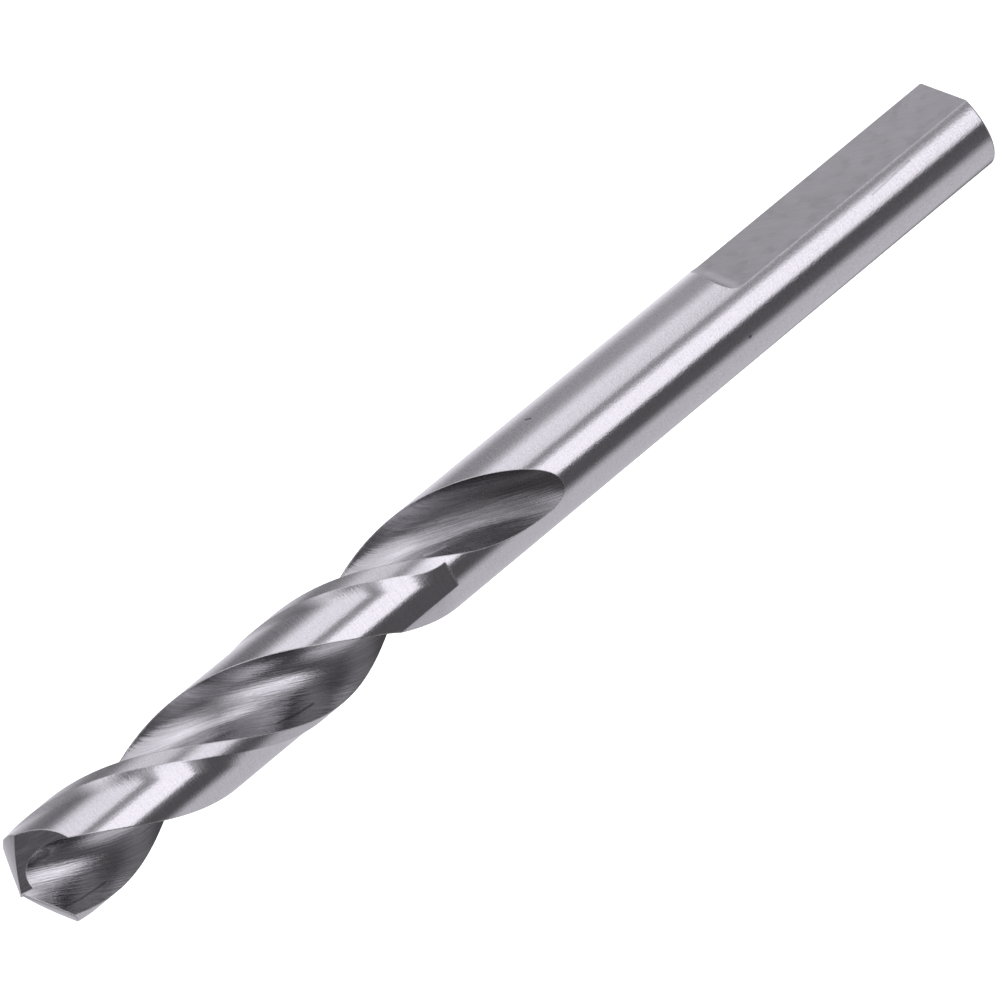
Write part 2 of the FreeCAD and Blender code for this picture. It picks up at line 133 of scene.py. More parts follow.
class DrillSizes(bpy.types.PropertyGroup):
    """Sizes of the drill, which stands on its shank end with the point up."""

    overall_length: length("Overall length", "Shank end to chisel edge", CAD_BOX[1].z)
    drill_diameter: length("Drill diameter", "Across the margins at the point", 0.00635)
    shank_diameter: length("Shank diameter", "Of the bar below the end of the relief", 0.0063)
    shank_chamfer: length("Shank chamfer", "Edge break round the shank end", 0.00006)
    flat_length: length("Flat length", "Full-depth part of the shank flat", 0.01785)
    flat_depth: length("Flat depth", "How far the flat is cut below the round", 0.0009)
    flat_corner: length("Flat corner", "Radius where the flat runs out", 0.0013)
    flute_length: length("Flute length", "Chisel edge to the last trace of a flute", 0.03845)
    lead_length: length("Lead", "Advance of a flute in one turn", 0.0334)
    flute_hollow: length("Flute hollow", "Radius of the flute's floor", 0.00195)
    web_thickness: length("Web thickness", "Core left between the two flutes", 0.0011)
    land_angle: angle("Land angle", "Arc of one land, leading edge to heel", 84.2)
    runout_length: length("Run-out length", "Stretch in which the flute gets shallow", 0.00785)
    runout_radius: length("Run-out radius", "Arc on which the cutter leaves the bar", 0.0111)
    runout_lean: angle("Run-out lean", "Where the cutter leaves, from the leading edge", 5.5)
    margin_angle: angle("Margin angle", "Arc of the margin, at full diameter", 16)
    clearance_depth: length("Relief depth", "Of the land behind its margin", 0.00014)
    clearance_length: length("Relief length", "Chisel edge to the end of the relief", 0.0299)
    clearance_easing: length("Relief easing", "Stretch in which the bar stops turning", 0.0018)
    wheel_width: length("Wheel width", "Width of the wheel that grinds the relief", 0.006)
    point_angle: angle("Point angle", "Included angle of the two lips", 135)
    lip_angle: angle("Lip direction", "Direction of the first lip, seen from the point", 148.5)
    lip_relief: angle("Lip relief", "Clearance angle right behind a lip", 6)
    flank_radius: length("Flank radius", "Curve of the ground flank behind a lip", 0.0085)
    notch_turn: angle("Notch turn", "From a lip round to its notch", 50.2)
    notch_tilt: angle("Notch tilt", "Floor of the notch, off the axis", 42.6)
    notch_wall: angle("Notch wall", "Wall on the heel side, below square", 15.4)
    notch_opening: angle("Notch opening", "Angle between the notch's two walls", 84.4)
    chisel_length: length("Chisel length", "Chisel edge left between the notches", 0.00017)


class DrillLooks(bpy.types.PropertyGroup):
    """Colours of the steel and of the studio."""

    steel: colour("Steel", "Bright ground high speed steel", (0.66, 0.65, 0.67))
    floor: colour("Floor", "Pale studio floor", (0.86, 0.86, 0.87))
    camera_azimuth: angle("Camera azimuth", "Direction from the drill to the camera", -145.5)
    camera_elevation: angle("Camera elevation", "Of the camera above the horizon", 17.24)
    camera_roll: angle("Camera roll", "Turn of the camera about its line of sight", -129.62)
    camera_distance: length("Camera distance", "From the camera to where it aims", 0.32857)
    camera_lens: number("Camera lens", "Focal length in millimetres", 208.8)
    aim_height: length("Aim height", "Height on the axis at which the camera aims", 0.03635)


# Shapes ---------------------------------------------------------------------------


def polar(radius, turn, z=0.0):
    """Point at a radius from the axis, at an angle from +X."""
    return Vector((radius * math.cos(turn), radius * math.sin(turn), z))


def frame_at(origin, across, normal):
    """Placement whose X runs along across and whose Z runs along normal."""
    place = Matrix((across, normal.cross(across), normal)).transposed().to_4x4()
    place.translation = origin
    return place


def steps(start, end, longest):
    """Evenly spaced values from start to end, no further apart than longest."""
    count = math.ceil(abs(end - start) / longest)
    return [start + (end - start) * index / count for index in range(count + 1)]


class Outline:
    """Closed outline that is drawn edge by edge in the XY plane."""

    def __init__(self, bm, start):
        self.bm = bm
        self.first = self.last = bm.verts.new(start)

    def extend(self, **how):
        made = bmesh.ops.spin(self.bm, geom=[self.last], axis=(0, 0, 1), **how)["geom_last"]
        self.last = next(item for item in made if isinstance(item, bmesh.types.BMVert))

    def line(self, end, pieces=1):
        move = (Vector(end) - self.last.co) / pieces
        self.extend(dvec=move, angle=0, steps=pieces)

    def arc(self, centre, turn):
        self.extend(cent=centre, angle=turn, steps=math.ceil(abs(turn) / ARC_STEP))

    def close(self):
        """Draw the last edge back to the start."""
        self.bm.edges.new((self.last, self.first))
        return list(self.bm.edges)

    def weld(self):
        """Join the last corner to the first, where both are in one place."""
        bmesh.ops.weld_verts(self.bm, targetmap={self.last: self.first})
        return list(self.bm.edges)


def sweep(bm, edges, stations):
    """Extrude a closed outline through the stations, and close both ends."""
    bmesh.ops.transform(bm, matrix=stations[0], verts=list(bm.verts))
    bmesh.ops.edgeloop_fill(bm, edges=edges)
    for before, after in zip(stations, stations[1:]):
        made = bmesh.ops.extrude_edge_only(bm, edges=edges)["geom"]
        edges = [item for item in made if isinstance(item, bmesh.types.BMEdge)]
        moved = [item for item in made if isinstance(item, bmesh.types.BMVert)]
        bmesh.ops.transform(bm, matrix=after @ before.inverted(), verts=moved)
    bmesh.ops.edgeloop_fill(bm, edges=edges)
    bmesh.ops.recalc_face_normals(bm, faces=list(bm.faces))


def straight(place, start, end):
    """Two stations, at two heights along a placement's own Z."""
    return [place @ Matrix.Translation((0, 0, height)) for height in (start, end)]


def add_twin(bm):
    """Repeat everything half a turn round the axis."""
    whole = list(bm.verts) + list(bm.edges) + list(bm.faces)
    made = bmesh.ops.duplicate(bm, geom=whole)["geom"]
    verts = [item for item in made if isinstance(item, bmesh.types.BMVert)]
    bmesh.ops.rotate(bm, verts=verts, cent=(0, 0, 0), matrix=Matrix.Rotation(math.pi, 3, "Z"))


def into_object(bm, name, finish=None):
    """Object of a bmesh. With a finish, it is steel, and its faces get that slot unless
    they already have a later one."""
    mesh = bpy.data.meshes.new(name)
    if finish is not None:
        for face in bm.faces:
            face.material_index = max(finish, face.material_index)
        for steel_name in FINISHES:
            mesh.materials.append(bpy.data.materials["steel_" + steel_name])
    bm.to_mesh(mesh)
    bm.free()
    thing = bpy.data.objects.new(name, mesh)
    bpy.context.scene.collection.objects.link(thing)
    return thing


def cut(target, cutters):
    """Take the cutters off the target, one after the other, and remove them."""
    for cutter in cutters:
        modifier = target.modifiers.new(cutter.name, "BOOLEAN")
        modifier.operation = "DIFFERENCE"
        modifier.solver = "EXACT"
        modifier.object = cutter
        graph = bpy.context.evaluated_depsgraph_get()
        uncut = target.data
        target.data = bpy.data.meshes.new_from_object(target.evaluated_get(graph))
        target.modifiers.clear()
        bpy.data.meshes.remove(uncut)
        bpy.data.meshes.remove(cutter.data)


def smooth_faces(target):
    """Shade the ground faces smooth up to their edges. Larger faces count for more, so
    that the slivers along tangent lines don't show."""
    target.data.shade_smooth()
    target.data.set_sharp_from_angle(angle=SHARP_EDGE)
    modifier = target.modifiers.new("even_shading", "WEIGHTED_NORMAL")
    modifier.mode = "FACE_AREA"
    modifier.weight = 50
    modifier.keep_sharp = True


def flank_centre(sizes):
    """Centre of the flank's circle, seen along the lip: X behind the lip, Y up to the
    point, from the middle of the chisel edge, through which the circle passes."""
    radius = sizes.flank_radius
    ahead = sizes.web_thickness / 2 + radius * math.sin(sizes.lip_relief)
    return Vector((-ahead, -math.sqrt(radius**2 - ahead**2), 0))


def leading_angle(sizes):
    """Direction of the first land's leading edge at the chisel edge's height, which runs
    down from the outer corner of the lip."""
    ahead = sizes.web_thickness / 2
    centre = flank_centre(sizes)
    height = centre.y + math.sqrt(sizes.flank_radius**2 - (ahead + centre.x) ** 2)
    out = math.sqrt((sizes.drill_diameter / 2) ** 2 - ahead**2)
    half_point = sizes.point_angle / 2
    depth = out / math.tan(half_point) - height / math.sin(half_point)
    corner = math.asin(sizes.web_thickness / sizes.drill_diameter)
    return sizes.lip_angle + corner + 2 * math.pi * depth / sizes.lead_length


def relieved_radius(sizes):
    """Radius of the lands behind their margins."""
    return sizes.drill_diameter / 2 - sizes.clearance_depth


def relief_angle(sizes):
    """How far behind the leading edge the relieving wheel touches the bar."""
    return sizes.margin_angle + math.acos(relieved_radius(sizes) / (sizes.drill_diameter / 2))


def eased_turn(sizes, depth, begin, easing):
    """Angle that a cutter has turned by at a depth below the chisel edge. It turns
    evenly down to begin, and over the easing length it comes to a stop."""
    past = min(max(depth - begin, 0), easing)
    run = min(depth, begin) + past - past**2 / (2 * easing)
    return -2 * math.pi * run / sizes.lead_length


def flute_station(sizes, depth):
    """Placement of the flute's outline at a depth. In the run-out the cutter leaves the
    bar on an arc while its turning eases off."""
    begin = sizes.flute_length - sizes.runout_length
    past = max(depth - begin, 0)
    turn = eased_turn(sizes, depth, begin, sizes.runout_length)
    rise = sizes.runout_radius - math.sqrt(sizes.runout_radius**2 - past**2)
    way_out = leading_angle(sizes) + sizes.runout_lean + turn
    away = polar(rise, way_out, sizes.overall_length - depth)
    return Matrix.Translation(away) @ Matrix.Rotation(turn, 4, "Z")


def relief_station(sizes, depth):
    """Placement of the relief's outline at a depth."""
    begin = sizes.clearance_length - sizes.clearance_easing
    turn = eased_turn(sizes, depth, begin, sizes.clearance_easing)
    level = Matrix.Translation((0, 0, sizes.overall_length - depth))
    return level @ Matrix.Rotation(turn, 4, "Z")


def make_bar(sizes):
    """Turned bar with a small chamfer round its shank end. It is straight up to where
    the relief ends, and from there widens very slightly to the point."""
    bm = bmesh.new()
    shank = sizes.shank_diameter / 2
    corner = sizes.shank_chamfer
    profile = [
        (0, 0),
        (shank - corner, 0),
        (shank, corner),
        (shank, sizes.overall_length - sizes.clearance_length),
        (sizes.drill_diameter / 2, sizes.overall_length),
        (0, sizes.overall_length),
    ]
    verts = [bm.verts.new((0, radius, z)) for radius, z in profile]
    edges = [bm.edges.new(pair) for pair in zip(verts, verts[1:])]
    bmesh.ops.spin(
        bm, geom=verts + edges, cent=(0, 0, 0), axis=(0, 0, 1), angle=2 * math.pi,
        steps=BAR_FACETS, use_merge=True,
    )
    bmesh.ops.remove_doubles(bm, verts=list(bm.verts), dist=WELD)
    bmesh.ops.recalc_face_normals(bm, faces=list(bm.faces))
    for face in bm.faces:
        faces_along = abs(face.normal.z) > 0.5  # both ends and the chamfer do
        face.material_index = END if faces_along else SHANK
    return into_object(bm, "pilot_drill_bit_ground", SHANK)


def flute_centre(sizes):
    """Centre of the flute's round floor, where the floor leaves the web and comes out at
    the heel of the next land."""
    floor = sizes.flute_hollow
    heel_radius = relieved_radius(sizes)
    heel = leading_angle(sizes) + math.pi - sizes.land_angle
    reach = sizes.web_thickness / 2 + floor
    swing = (reach**2 + heel_radius**2 - floor**2) / (2 * reach * heel_radius)
    return polar(reach, heel - math.acos(swing))


def make_flute_cutters(sizes):
    """What is ground out for the two flutes: a straight face under the lip, then one
    round floor that comes out at the heel of the next land."""
    radius = sizes.drill_diameter / 2
    floor = sizes.flute_hollow
    lead = leading_angle(sizes)
    heel = lead + math.pi - sizes.land_angle
    centre = flute_centre(sizes)
    edge = polar(radius, lead)
    to_centre = centre - edge
    face = math.atan2(to_centre.y, to_centre.x) + math.asin(floor / to_centre.length)
    tangent = edge + polar(math.sqrt(to_centre.length**2 - floor**2), face)
    first_arm = tangent - centre
    heel_arm = polar(relieved_radius(sizes), heel) - centre
    turn = math.atan2(heel_arm.y, heel_arm.x) - math.atan2(first_arm.y, first_arm.x)
    turn = -((-turn) % (2 * math.pi)) - BEYOND / floor
    bm = bmesh.new()
    outline = Outline(bm, edge - polar(BEYOND, face))
    outline.line(tangent, pieces=FACE_PIECES)
    outline.arc(centre, turn)
    outline.line(polar(2 * radius + BEYOND, (lead + heel) / 2))
    begin = sizes.flute_length - sizes.runout_length
    pitch = sizes.lead_length * TURN_STEP / (2 * math.pi)
    depths = steps(-BEYOND, begin, pitch)
    depths += steps(begin, sizes.flute_length + BEYOND, pitch)[1:]
    sweep(bm, outline.close(), [flute_station(sizes, depth) for depth in depths])
    add_twin(bm)
    return into_object(bm, "flutes", FLUTE)


def make_relief_cutters(sizes):
    """What is ground off the two lands behind their margins. Where the wheel stopped,
    its width leaves a flat, and the land beyond that flat keeps its full diameter."""
    inner = relieved_radius(sizes)
    outer = sizes.drill_diameter / 2 + BEYOND
    start = leading_angle(sizes) - relief_angle(sizes)
    end = leading_angle(sizes) - sizes.land_angle - HEEL_OVERRUN
    touch = polar(inner, start)
    bm = bmesh.new()
    outline = Outline(bm, touch + polar(math.sqrt(outer**2 - inner**2), start + math.pi / 2))
    outline.line(touch, pieces=WALL_PIECES)
    outline.arc((0, 0, 0), end - start)
    outline.line(polar(outer, end))
    outline.arc((0, 0, 0), start + math.acos(inner / outer) - end)
    edges = outline.weld()
    begin = sizes.clearance_length - sizes.clearance_easing
    pitch = sizes.lead_length * TURN_STEP / (2 * math.pi)
    depths = steps(-BEYOND, begin, pitch)
    depths += steps(begin, sizes.clearance_length, pitch)[1:]
    sweep(bm, edges, [relief_station(sizes, depth) for depth in depths])
    relief = into_object(bm, "relief", LAND)
    cut(relief, [make_untouched_land(sizes)])
    bm = bmesh.new()
    bm.from_mesh(relief.data)
    bpy.data.meshes.remove(relief.data)
    add_twin(bm)
    return into_object(bm, "reliefs", LAND)


def make_untouched_land(sizes):
    """Block of land that the stopped wheel did not reach. It begins at the line where
    the wheel's face touches the relieved round, and DIVE further it is cut off close to
    square."""
    stopped = relief_station(sizes, sizes.clearance_length).to_3x3()
    facing = stopped @ polar(1, leading_angle(sizes) - relief_angle(sizes))
    low = sizes.overall_length - sizes.clearance_length - BEYOND
    touch = facing * relieved_radius(sizes) + Vector((0, 0, low))
    place = frame_at(touch, -facing, Vector((0, 0, 1)))
    side = 2 * sizes.drill_diameter  # well past the land
    bm = bmesh.new()
    outline = Outline(bm, (0, 0, 0))
    outline.line((0, side, 0))
    outline.line((side, side, 0))
    outline.line((side, -DIVE, 0))
    outline.line((DIVE * math.tan(DIVE_ANGLE), -DIVE, 0))
    sweep(bm, outline.close(), straight(place, 0, sizes.wheel_width + BEYOND))
    return into_object(bm, "untouched_land", LAND)


def make_flank_cutter(sizes, lip):
    """Everything above the ground flank behind one lip: a large cylinder that runs along
    the lip, passes the middle of the chisel edge and falls away behind the lip."""
    slope = sizes.point_angle / 2
    along = polar(math.sin(slope), lip, -math.cos(slope))
    point = Vector((0, 0, sizes.overall_length))
    place = frame_at(point, polar(1, lip - math.pi / 2), -along)
    radius = sizes.flank_radius
    centre = flank_centre(sizes)
    reach = sizes.drill_diameter / 2 + BEYOND
    right = math.asin((reach - centre.x) / radius)
    left = math.asin((centre.x + reach) / radius)
    height = sizes.drill_diameter
    half = 1.5 * sizes.drill_diameter  # well past both ends of the lip
    bm = bmesh.new()
    outline = Outline(bm, centre + polar(radius, math.pi / 2 - right))
    outline.arc(centre, right + left)
    outline.line((-reach, height, 0))
    outline.line((reach, height, 0))
    sweep(bm, outline.close(), straight(place, -half, half))
    return into_object(bm, "flank", FLANK)


def make_notch_cutter(sizes, lip):
    """Split-point notch in the heel across from a lip: a V whose floor climbs from
    beside the chisel edge out through the heel. Its steep wall is the inner lip."""
    turn = lip + sizes.notch_turn
    floor = polar(math.sin(sizes.notch_tilt), turn, -math.cos(sizes.notch_tilt))
    apex = polar(sizes.chisel_length / 2, lip + math.pi, sizes.overall_length)
    place = frame_at(apex, polar(1, turn + math.pi / 2), floor)
    reach = 2 * sizes.drill_diameter  # well past the heel
    bm = bmesh.new()
    outline = Outline(bm, (0, 0, 0))
    outline.line(polar(reach, -sizes.notch_wall))
    outline.line(polar(reach, sizes.notch_opening - sizes.notch_wall))
    sweep(bm, outline.close(), straight(place, -reach, reach))
    return into_object(bm, "notch", NOTCH)


def make_flat_cutter(sizes):
    """Flat for the arbor's grub screw, open at the shank end, with a small-radius
    run-out at the other."""
    place = frame_at(Vector((0, 0, 0)), Vector((0, 1, 0)), Vector((1, 0, 0)))
    level = sizes.shank_diameter / 2 - sizes.flat_depth
    corner = sizes.flat_corner
    top = sizes.flat_length
    outer = level + corner + BEYOND
    bm = bmesh.new()
    outline = Outline(bm, (-level, -BEYOND, 0))
    outline.line((-level, top, 0))
    outline.arc((-level - corner, top, 0), math.pi / 2)
    outline.line((-outer, top + corner, 0))
    outline.line((-outer, -BEYOND, 0))
    half = sizes.shank_diameter
    sweep(bm, outline.close(), straight(place, -half, half))
    return into_object(bm, "shank_flat", FLAT)


# Finishes -------------------------------------------------------------------------
#
# Lengths in the finishes are in millimetres, apart from EDGE_BREAK and the depth of the
# grinding marks, which are in metres. The other numbers are weights and scales of the
# noises, chosen against the photo.


class Value:
    """Output of a shader node, so that shader maths can be written as Python."""

    def __init__(self, shader, socket):
        self.shader = shader
        self.socket = socket

    def __add__(self, other):
        return self.shader.maths("ADD", self, other)

    def __sub__(self, other):
        return self.shader.maths("SUBTRACT", self, other)

    def __rsub__(self, other):
        return self.shader.maths("SUBTRACT", other, self)

    def __mul__(self, other):
        return self.shader.maths("MULTIPLY", self, other)

    def __truediv__(self, other):
        return self.shader.maths("DIVIDE", self, other)

    __radd__ = __add__
    __rmul__ = __mul__

    def least(self, other):
        return self.shader.maths("MINIMUM", self, other)

    def most(self, other):
        return self.shader.maths("MAXIMUM", self, other)

    def sine(self):
        return self.shader.maths("SINE", self)

    def cosine(self):
        return self.shader.maths("COSINE", self)

    def sign(self):
        return self.shader.maths("SIGN", self)

    def root(self):
        return self.shader.maths("SQRT", self)

    def step(self, start, end, before, after):
        """before up to start, after from end on, and a smooth step between."""
        inputs = {0: self, 1: start, 2: end, 3: before, 4: after}
        return self.shader.node("MapRange", inputs, interpolation_type="SMOOTHSTEP")

    def fall(self, start, end):
        return self.step(start, end, 1.0, 0.0)

    def rise(self, start, end):
        return self.step(start, end, 0.0, 1.0)


class Shader:
    """Node tree of a material or the world, filled from an empty one."""

    def __init__(self, owner):
        owner.use_nodes = True
        self.tree = owner.node_tree
        self.tree.nodes.clear()

    def node(self, kind, inputs=None, output=0, **settings):
        """Add a node: its settings first, then the values or links of its sockets."""
        made = self.tree.nodes.new("ShaderNode" + kind)
        for name, value in settings.items():
            setattr(made, name, value)
        for name, value in (inputs or {}).items():
            if isinstance(value, Value):
                self.tree.links.new(value.socket, made.inputs[name])
            else:
                made.inputs[name].default_value = value
        return Value(self, made.outputs[output]) if made.outputs else made

    def maths(self, operation, first, second=0.0):
        """Maths on numbers."""
        return self.node("Math", {0: first, 1: second}, operation=operation)

    def vectors(self, operation, first, second=(0.0, 0.0, 0.0), output="Vector"):
        """Maths on whole vectors."""
        return self.node("VectorMath", {0: first, 1: second}, output, operation=operation)

    def split(self, vector):
        """The three parts of a vector."""
        first = self.node("SeparateXYZ", {0: vector})
        return [Value(self, socket) for socket in first.socket.node.outputs]

    def join(self, x, y, z):
        return self.node("CombineXYZ", {0: x, 1: y, 2: z})

    def object_point(self):
        return self.node("TexCoord", output="Object")

    def millimetres(self):
        """Object coordinates in millimetres."""
        return [part * 1000 for part in self.split(self.object_point())]

    def noise(self, point, scale=1.0, detail=2.0, roughness=0.5):
        """Noise over the three parts of a point. Parts scaled apart stretch it."""
        inputs = {"Scale": scale, "Detail": detail, "Roughness": roughness}
        return self.node("TexNoise", {"Vector": self.join(*point), **inputs})


def turned_back(sizes, x, y, z):
    """The two coordinates across the bar, in millimetres, turned back along the helix of
    the flutes, so that a pattern drawn on them follows the flutes into their run-out."""
    begin = (sizes.flute_length - sizes.runout_length) * 1000
    easing = sizes.runout_length * 1000
    below = sizes.overall_length * 1000 - z
    past = (below - begin).most(0.0).least(easing)
    run = below.least(begin) + past - past * past / (2 * easing)
    turn = run * (-2 * math.pi / (sizes.lead_length * 1000))
    return x * turn.cosine() + y * turn.sine(), y * turn.cosine() - x * turn.sine()


def slanted(first, second, turn):
    """Two coordinates turned by an angle."""
    return (
        first * math.cos(turn) + second * math.sin(turn),
        second * math.cos(turn) - first * math.sin(turn),
    )


def mark(shader, start, end, width):
    """1 on a fine scratch from start to end, in millimetres, fading out at its sides."""
    start, end = Vector(start), Vector(end)
    run = end - start
    point = shader.vectors("MULTIPLY", shader.object_point(), (1000, 1000, 1000))
    away = shader.vectors("SUBTRACT", point, tuple(start))
    share = tuple(run / run.length_squared)
    part = shader.vectors("DOT_PRODUCT", away, share, output="Value")
    part = part.most(0.0).least(1.0)
    nearest = shader.node("VectorMath", {0: tuple(run), "Scale": part}, operation="SCALE")
    gap = shader.vectors("SUBTRACT", away, nearest)
    gap = shader.vectors("LENGTH", gap, output="Value")
    return gap.fall(width * 0.4, width)


def bent_mark(shader, points, width):
    """1 on a fine scratch through three points."""
    return mark(shader, *points[:2], width).most(mark(shader, *points[1:], width))


def finish_steel(shader, looks, tone, roughness, height, depth, dark=None, light=None):
    """Bare steel. Tone scales its colour, height is the relief of the grinding marks, and
    depth how deep they are in metres. Dark is a mask of scratches, spots and painted shade,
    light a mask of painted highlight on a scratch. Along the ground edges the colour is
    brightened as painted highlight."""
    # dark marks, and painted shade, take a share of the colour
    if dark is not None:
        tone = tone * (1 - dark * DARK_MARK_AND_SHADE)
    # painted highlight: the colour is brightened on a scratch
    if light is not None:
        tone = tone + light * PAINTED_HIGHLIGHT_GAIN
    eased = shader.node("Bevel", {"Radius": EDGE_BREAK}, samples=4)
    flat = shader.node("NewGeometry", output="Normal")
    edge = 1 - shader.vectors("DOT_PRODUCT", eased, flat, output="Value")
    edge = edge.rise(EDGE_START, EDGE_FULL)
    # painted highlight: the colour is brightened along the ground edges
    tone = tone + edge * EDGE_PAINTED_HIGHLIGHT
    roughness = roughness + edge * EDGE_ROUGHNESS
    base = shader.vectors("MULTIPLY", tuple(looks.steel), shader.join(tone, tone, tone))
    normal = shader.node(
        "Bump", {"Strength": 1.0, "Distance": depth, "Height": height, "Normal": eased}
    )
    bsdf = shader.node(
        "BsdfPrincipled",
        {"Base Color": base, "Metallic": 1.0, "Roughness": roughness, "Normal": normal},
    )
    shader.node("OutputMaterial", {"Surface": bsdf})


def shank_steel(shader, sizes, looks):
    """Shank and margins: fine sparkling grain with faint rings from centreless grinding.
    The margins are duller, because they rub in the hole."""
    x, y, z = point = shader.millimetres()
    grain = shader.noise(point, 8.5, roughness=0.65)
    rings = shader.noise((x * 0.5, y * 0.5, z * 12.0), roughness=0.6)
    cloud = shader.noise(point, 0.6)
    pits = shader.noise(point, 9.0, 3.0, 0.7).rise(0.56, 0.78)
    relief_end = (sizes.overall_length - sizes.clearance_length) * 1000
    rubbed = z.rise(relief_end, relief_end + 1.5)
    tone = 0.80 + grain * 0.40 + rings * 0.10 + cloud * 0.08 - pits * 0.25
    tone = tone * (1 - rubbed * 0.10)
    roughness = 0.08 + cloud * 0.05 + grain * 0.06 + rubbed * 0.10
    dark = mark(shader, *SPOT, 0.14).most(mark(shader, *SHANK_SCRATCH, 0.09))
    dark = dark.most(mark(shader, *FAINT_LINE, 0.10) * 0.35)
    height = grain * 0.8 + rings * 0.2
    finish_steel(shader, looks, tone, roughness, height, depth=6.5e-6, dark=dark)


def flute_steel(shader, sizes, looks):
    """Flutes: fine streaks from the face of the grinding wheel, which cross the floor at
    a steeper slant than the helix there. The run-out is rougher. The run-out, the wall that
    comes out at the heel and the face under the lip are darkened as painted shade, and so
    is a patch where the notch meets the flute. A scratch has a painted highlight."""
    x, y, z = point = shader.millimetres()
    centre = flute_centre(sizes)
    across, beside = turned_back(sizes, x, y, z)
    out, beside = slanted(across, beside, math.atan2(centre.y, centre.x))
    side = out.sign()
    below = sizes.overall_length * 1000 - z
    beside = side * beside
    streak = beside + below * STREAK_SLANT
    fine = shader.noise((streak * 9.0, z * 0.30, side * 5.0), 1.0, 3.0, 0.65)
    fine = fine.rise(0.26, 0.74)
    broad = shader.noise((streak * 2.2, z * 0.15, side * 9.0))
    grain = shader.noise(point, 8.0, roughness=0.6)
    runout_start = (sizes.flute_length - sizes.runout_length) * 1000
    runout = below.rise(runout_start - 1.5, sizes.flute_length * 1000 - 2.5)
    heel_wall_shade = beside.rise(0.8, 2.0)
    lip_face_shade = (1 - runout) * beside.fall(-1.6, -0.5)
    tone = 0.57 + fine * 0.34 + broad * 0.36 + grain * 0.16
    # painted shade: the run-out, the heel wall and the face under the lip are made darker
    tone = tone * (1 - runout * 0.48) * (1 - heel_wall_shade * 0.34) * (1 - lip_face_shade * 0.26)
    roughness = 0.10 + fine * 0.08 + broad * 0.06 + runout * 0.10
    dark = bent_mark(shader, FLUTE_SCRATCH, 0.10).most(bent_mark(shader, TIP_SCRATCH, 0.07))
    # painted shade: the patch where the notch meets the flute is made darker
    dark = (dark * 0.8).most(mark(shader, *NOTCH_PAINTED_SHADE, 0.45))
    # painted highlight on a scratch: its glint is painted into the colour
    light = bent_mark(shader, SCRATCH_PAINTED_HIGHLIGHT, 0.13)
    height = fine * 0.5 + broad * 0.5 + grain * 0.2
    finish_steel(
        shader, looks, tone, roughness, height, depth=15e-6, dark=dark, light=light
    )


def land_steel(shader, sizes, looks):
    """Relieved lands: close lines round the bar from the edge of the wheel."""
    x, y, z = point = shader.millimetres()
    lines = shader.noise((x * 0.4, y * 0.4, z * 14.0), detail=1.0)
    grain = shader.noise(point, 8.5, roughness=0.65)
    cloud = shader.noise(point, 0.7)
    pits = shader.noise(point, 9.0, 3.0, 0.7).rise(0.56, 0.78)
    tone = 0.80 + lines * 0.18 + grain * 0.34 + cloud * 0.06 - pits * 0.20
    roughness = 0.08 + cloud * 0.05 + grain * 0.05
    finish_steel(shader, looks, tone, roughness, lines * 0.4 + grain * 0.7, depth=6e-6)


def flank_steel(shader, sizes, looks):
    """Flanks behind the lips: straight fine scratches across the lip."""
    x, y, z = point = shader.millimetres()
    along, behind = slanted(x, y, sizes.lip_angle)
    lines = shader.noise((along * 12.0, behind * 0.8, z * 0.8), roughness=0.6)
    grain = shader.noise(point, 9.0, roughness=0.6)
    tone = 0.75 + lines * 0.3 + grain * 0.2
    roughness = 0.17 + lines * 0.08
    finish_steel(shader, looks, tone, roughness, lines + grain * 0.3, depth=4e-6)


def notch_steel(shader, sizes, looks):
    """Split-point notches: smooth, with a few slanting streaks from a narrow wheel."""
    x, y, z = point = shader.millimetres()
    along, behind = slanted(x, y, sizes.lip_angle + sizes.notch_turn)
    streaks = shader.noise((along * 0.5, behind * 6.0, z * 0.5), roughness=0.6)
    grain = shader.noise(point, 9.0, detail=1.0)
    tone = 0.50 + streaks * 0.45 + grain * 0.1
    roughness = 0.10 + streaks * 0.08
    finish_steel(shader, looks, tone, roughness, streaks + grain * 0.2, depth=5e-6)


def flat_steel(shader, sizes, looks):
    """Shank flat: matt, with faint slanting marks, blots and a smudge."""
    x, y, z = point = shader.millimetres()
    across, along = slanted(x, z, FLAT_SLANT)
    marks = shader.noise((across * 0.7, y, along * 5.0), roughness=0.6)
    grain = shader.noise(point, 8.0, roughness=0.6)
    cloud = shader.noise(point, 0.5, 3.0, 0.55)
    smudge = mark(shader, *SMUDGE, 0.7)
    blots = shader.noise(point, 0.9).rise(0.52, 0.66)
    tone = 0.74 + marks * 0.20 + grain * 0.12 + cloud * 0.28 - blots * 0.09 - smudge * 0.10
    roughness = 0.26 + cloud * 0.10 + grain * 0.04
    finish_steel(shader, looks, tone, roughness, grain * 0.6 + marks * 0.5, depth=4e-6)


def end_steel(shader, sizes, looks):
    """Shank end and its chamfer: rings from cutting the bar to length."""
    x, y, z = point = shader.millimetres()
    out = (x * x + y * y).root()
    rings = shader.noise((out * 9.0, z, 0.0), roughness=0.6)
    grain = shader.noise(point, 8.0, roughness=0.6)
    tone = 0.75 + rings * 0.3 + grain * 0.15
    roughness = 0.22 + rings * 0.08
    finish_steel(shader, looks, tone, roughness, rings + grain * 0.3, depth=6e-6)


def make_finishes(sizes, looks):
    """One material for each finish."""
    makers = {
        "shank": shank_steel,
        "flute": flute_steel,
        "land": land_steel,
        "flank": flank_steel,
        "notch": notch_steel,
        "flat": flat_steel,
        "end": end_steel,
    }
    for name in FINISHES:
        makers[name](Shader(bpy.data.materials.new("steel_" + name)), sizes, looks)


# Operators ------------------------------------------------------------------------


